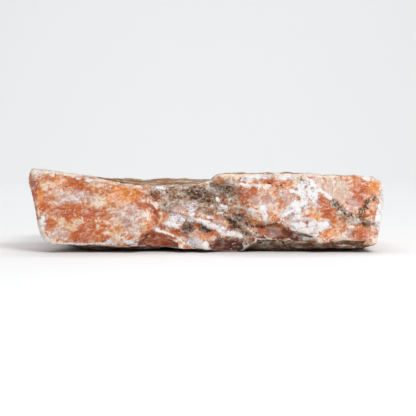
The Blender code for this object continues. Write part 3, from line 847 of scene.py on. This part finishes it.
def slab_copy(settings):
    """A copy of the solid, welded, cut into fine even cells and softened."""
    mesh = bpy.data.meshes.new("alabaster_stone")
    bm = bmesh.new()
    bm.from_mesh(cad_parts[SOLID].data)
    bmesh.ops.remove_doubles(bm, verts=bm.verts, dist=0.01 * MM)
    bm.to_mesh(mesh)
    bm.free()
    stone = new_object("alabaster_stone", mesh)
    cells = stone.modifiers.new("fine_cells", "REMESH")
    cells.mode = "VOXEL"
    cells.voxel_size = settings.cell
    soften = stone.modifiers.new("soften", "SMOOTH")
    soften.factor = 0.5
    soften.iterations = settings.smoothing
    return baked(stone)


def thinned(stone, most_faces):
    """Drops points where the surface is plain until the mesh holds no more triangles than it may."""
    stone.data.calc_loop_triangles()
    faces = len(stone.data.loop_triangles)
    if faces <= most_faces:
        return
    thin = stone.modifiers.new("thin", "DECIMATE")
    thin.ratio = most_faces / faces
    baked(stone)


def cut_level(piece):
    """Sets the points that reach below the floor back onto it."""
    for vert in piece.data.vertices:
        vert.co.z = max(vert.co.z, LOW.z)


class ALABASTER_OT_stone(bpy.types.Operator):
    """Adds the slab's finished surface, in place of its plain solid"""

    bl_idname = "alabaster.stone"
    bl_label = "Alabaster Stone"

    def execute(self, context):
        relief = context.scene.slab_relief
        material = stone_material(context.scene.slab_colours, ragged_mask_group(), sugar_group())
        stone = slab_copy(relief)
        for name, values in surface_kinds(stone.data).items():
            attribute = stone.data.attributes.new(name, "FLOAT", "POINT")
            attribute.data.foreach_set("value", np.clip(values, 0.0, 1.0).astype(np.float32))
        modifier = stone.modifiers.new("relief", "NODES")
        modifier.node_group = relief_tree()
        values = {socket_name(name): getattr(relief, name) for name in RELIEF_INPUTS}
        set_inputs(modifier, {**values, "Seed": relief.seed * SEED_SHIFT, "Material": material})
        baked(stone)
        thinned(stone, relief.most_faces)
        lowest = min(vert.co.z for vert in stone.data.vertices)
        if abs(lowest - LOW.z) > FLOOR_SLACK:
            raise RuntimeError(f"the stone's lowest point lies {lowest} m high")
        cut_level(stone)
        stone.data.shade_smooth()
        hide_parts(SOLID)
        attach(stone, BODY)
        return {"FINISHED"}


def crumb_tree():
    """Scatters crumbs over the chalky places: each a low rough lump, turned and sized at random."""
    tree = bpy.data.node_groups.new("chalk_crumbs", "GeometryNodeTree")
    inputs = {"Geometry": "Geometry", "Density": "Float", "Size": "Float", "Seed": "Int"}
    given = add_sockets(tree, {**inputs, "Material": "Material"}, {"Geometry": "Geometry"})
    position = add_node(tree, "GeometryNodeInputPosition").outputs[0]
    clumps = remap(tree, noise_of(tree, position, 0.010, 5.0, 0.7), 0.46, 0.60)
    chalky = remap(tree, named_value(tree, "chalk"), 0.5, 0.8)
    density = times(tree, chalky, clumps, given["Density"])
    inputs = {"Mesh": given["Geometry"], "Density": density, "Seed": given["Seed"]}
    points = add_node(tree, "GeometryNodeDistributePointsOnFaces", inputs, distribute_method="RANDOM").outputs
    ball = add_node(tree, "GeometryNodeMeshIcoSphere", {"Radius": 0.5, "Subdivisions": 1}).outputs[0]
    jitter = noise_of(tree, position, 0.4, 2.0)
    push = scaled(tree, position, minus(tree, jitter, 0.5))
    ball = add_node(tree, "GeometryNodeSetPosition", {"Geometry": ball, "Offset": push}).outputs[0]
    inputs = {2: 0.3, 3: 1.0, "Seed": given["Seed"]}
    random = add_node(tree, "FunctionNodeRandomValue", inputs, data_type="FLOAT")
    size = scaled(tree, (1.0, 0.8, 0.5), times(tree, random.outputs[1], given["Size"]))
    inputs = {"Points": points["Points"], "Instance": ball, "Rotation": points["Rotation"], "Scale": size}
    placed = add_node(tree, "GeometryNodeInstanceOnPoints", inputs).outputs[0]
    return finished(tree, placed, given["Material"])


class ALABASTER_OT_crumbs(bpy.types.Operator):
    """Scatters chalk crumbs over the chalky places of the stone"""

    bl_idname = "alabaster.crumbs"
    bl_label = "Chalk Crumbs"

    def execute(self, context):
        stone = bpy.data.objects.get("alabaster_stone")
        if stone is None:
            raise RuntimeError("the stone comes before its crumbs")
        crumbs = new_object("chalk_crumbs", stone.data.copy())
        settings = context.scene.chalk_crumbs
        material = crumb_material(context.scene.slab_colours, bpy.data.node_groups["sugary_grain"])
        modifier = crumbs.modifiers.new("crumbs", "NODES")
        modifier.node_group = crumb_tree()
        values = {"Density": settings.density, "Size": settings.size, "Seed": settings.seed}
        set_inputs(modifier, {**values, "Material": material})
        baked(crumbs)
        cut_level(crumbs)
        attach(crumbs, BODY)
        return {"FINISHED"}


def backdrop(settings):
    """A floor that bends up into a backdrop behind the slab."""
    half, front, depth, bend, height = 4.0, -3.0, 3.2, 0.8, 3.0
    steps = 12
    profile = [(front, 0.0), (depth - bend, 0.0)]
    for turn in range(1, steps + 1):
        angle = math.radians(turn * 90.0 / steps)
        profile.append((depth - bend + bend * math.sin(angle), bend - bend * math.cos(angle)))
    profile.append((depth, height))
    bm = bmesh.new()
    rows = [[bm.verts.new((side, y, z)) for side in (-half, half)] for y, z in profile]
    for near, far in zip(rows, rows[1:]):
        bm.faces.new((near[0], near[1], far[1], far[0]))
    mesh = bpy.data.meshes.new("backdrop")
    bm.to_mesh(mesh)
    bm.free()
    mesh.shade_smooth()
    material, tree, shader = new_material("pale_paper")
    fill_inputs(tree, shader, {"Base Color": (*settings.floor, 1.0), "Roughness": 0.95})
    mesh.materials.append(material)
    return new_object("backdrop", mesh)


def turned_towards(piece, place, aim):
    """The lamp or camera, set at a place and turned to look at its aim."""
    piece.location = place
    piece.rotation_euler = (aim - place).to_track_quat("-Z", "Y").to_euler()
    return piece


def soft_light(name, place, aim, size, power):
    """A wide soft lamp at a place, turned towards its aim. Its size is its width and height."""
    light = bpy.data.lights.new(name, "AREA")
    light.shape = "RECTANGLE"
    light.size, light.size_y = size
    light.energy = power
    turned_towards(new_object(name, light), Vector(place), Vector(aim))


def add_camera(settings):
    """A camera nearly level with the slab, looking straight at its face."""
    camera = bpy.data.cameras.new("camera")
    camera.lens = settings.lens
    camera.sensor_width = 36.0
    wide = SLAB_LENGTH / settings.fill
    distance = wide * camera.lens / camera.sensor_width - LOW.y
    lift = math.radians(settings.elevation)
    aim = Vector((0.0, 0.0, 0.47 * SLAB_HEIGHT))
    place = aim + Vector((0.0, -distance * math.cos(lift), distance * math.sin(lift)))
    bpy.context.scene.camera = turned_towards(new_object("camera", camera), place, aim)


class ALABASTER_OT_stage(bpy.types.Operator):
    """Adds the pale floor, the soft lights and the camera"""

    bl_idname = "alabaster.stage"
    bl_label = "Stone Stage"

    def execute(self, context):
        settings = context.scene.stone_stage
        backdrop(settings)
        aim = (0.0, 0.0, 0.04)
        soft_light("key", (0.60, -1.25, 1.15), aim, (0.7, 0.5), settings.key)
        soft_light("side", (-1.3, -0.9, 0.6), aim, (0.9, 0.9), settings.fill_light)
        soft_light("above", (0.0, 0.35, 1.5), aim, (1.4, 1.0), settings.top_light)
        soft_light("wash", (0.0, 1.5, 2.6), (0.0, 2.9, 0.3), (4.0, 1.0), settings.wash)
        world = bpy.data.worlds.new("pale_room")
        world.use_nodes = True
        sky = world.node_tree.nodes["Background"]
        fill_inputs(world.node_tree, sky, {"Color": (0.95, 0.97, 1.0, 1.0), "Strength": settings.sky})
        context.scene.world = world
        context.scene.view_settings.view_transform = "Standard"
        add_camera(settings)
        return {"FINISHED"}


OPERATORS = (ALABASTER_OT_stone, ALABASTER_OT_crumbs, ALABASTER_OT_stage)


class ALABASTER_PT_panel(bpy.types.Panel):
    """Lists the slab's operators"""

    bl_label = "Alabaster Slab"
    bl_space_type = "VIEW_3D"
    bl_region_type = "UI"
    bl_category = "Alabaster"

    def draw(self, context):
        for operator in OPERATORS:
            self.layout.operator(operator.bl_idname)


SETTINGS = {
    "slab_relief": SlabReliefSettings,
    "slab_colours": SlabColourSettings,
    "chalk_crumbs": ChalkCrumbSettings,
    "stone_stage": StoneStageSettings,
}
CLASSES = (*SETTINGS.values(), *OPERATORS, ALABASTER_PT_panel)


def register():
    for made in CLASSES:
        bpy.utils.register_class(made)
    for name, made in SETTINGS.items():
        setattr(bpy.types.Scene, name, PointerProperty(type=made))


def unregister():
    for name in SETTINGS:
        delattr(bpy.types.Scene, name)
    for made in reversed(CLASSES):
        bpy.utils.unregister_class(made)


def main():
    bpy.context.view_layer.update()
    register()
    bpy.ops.alabaster.stone()
    bpy.ops.alabaster.crumbs()
    bpy.ops.alabaster.stage()


if __name__ == "__main__":
    main()
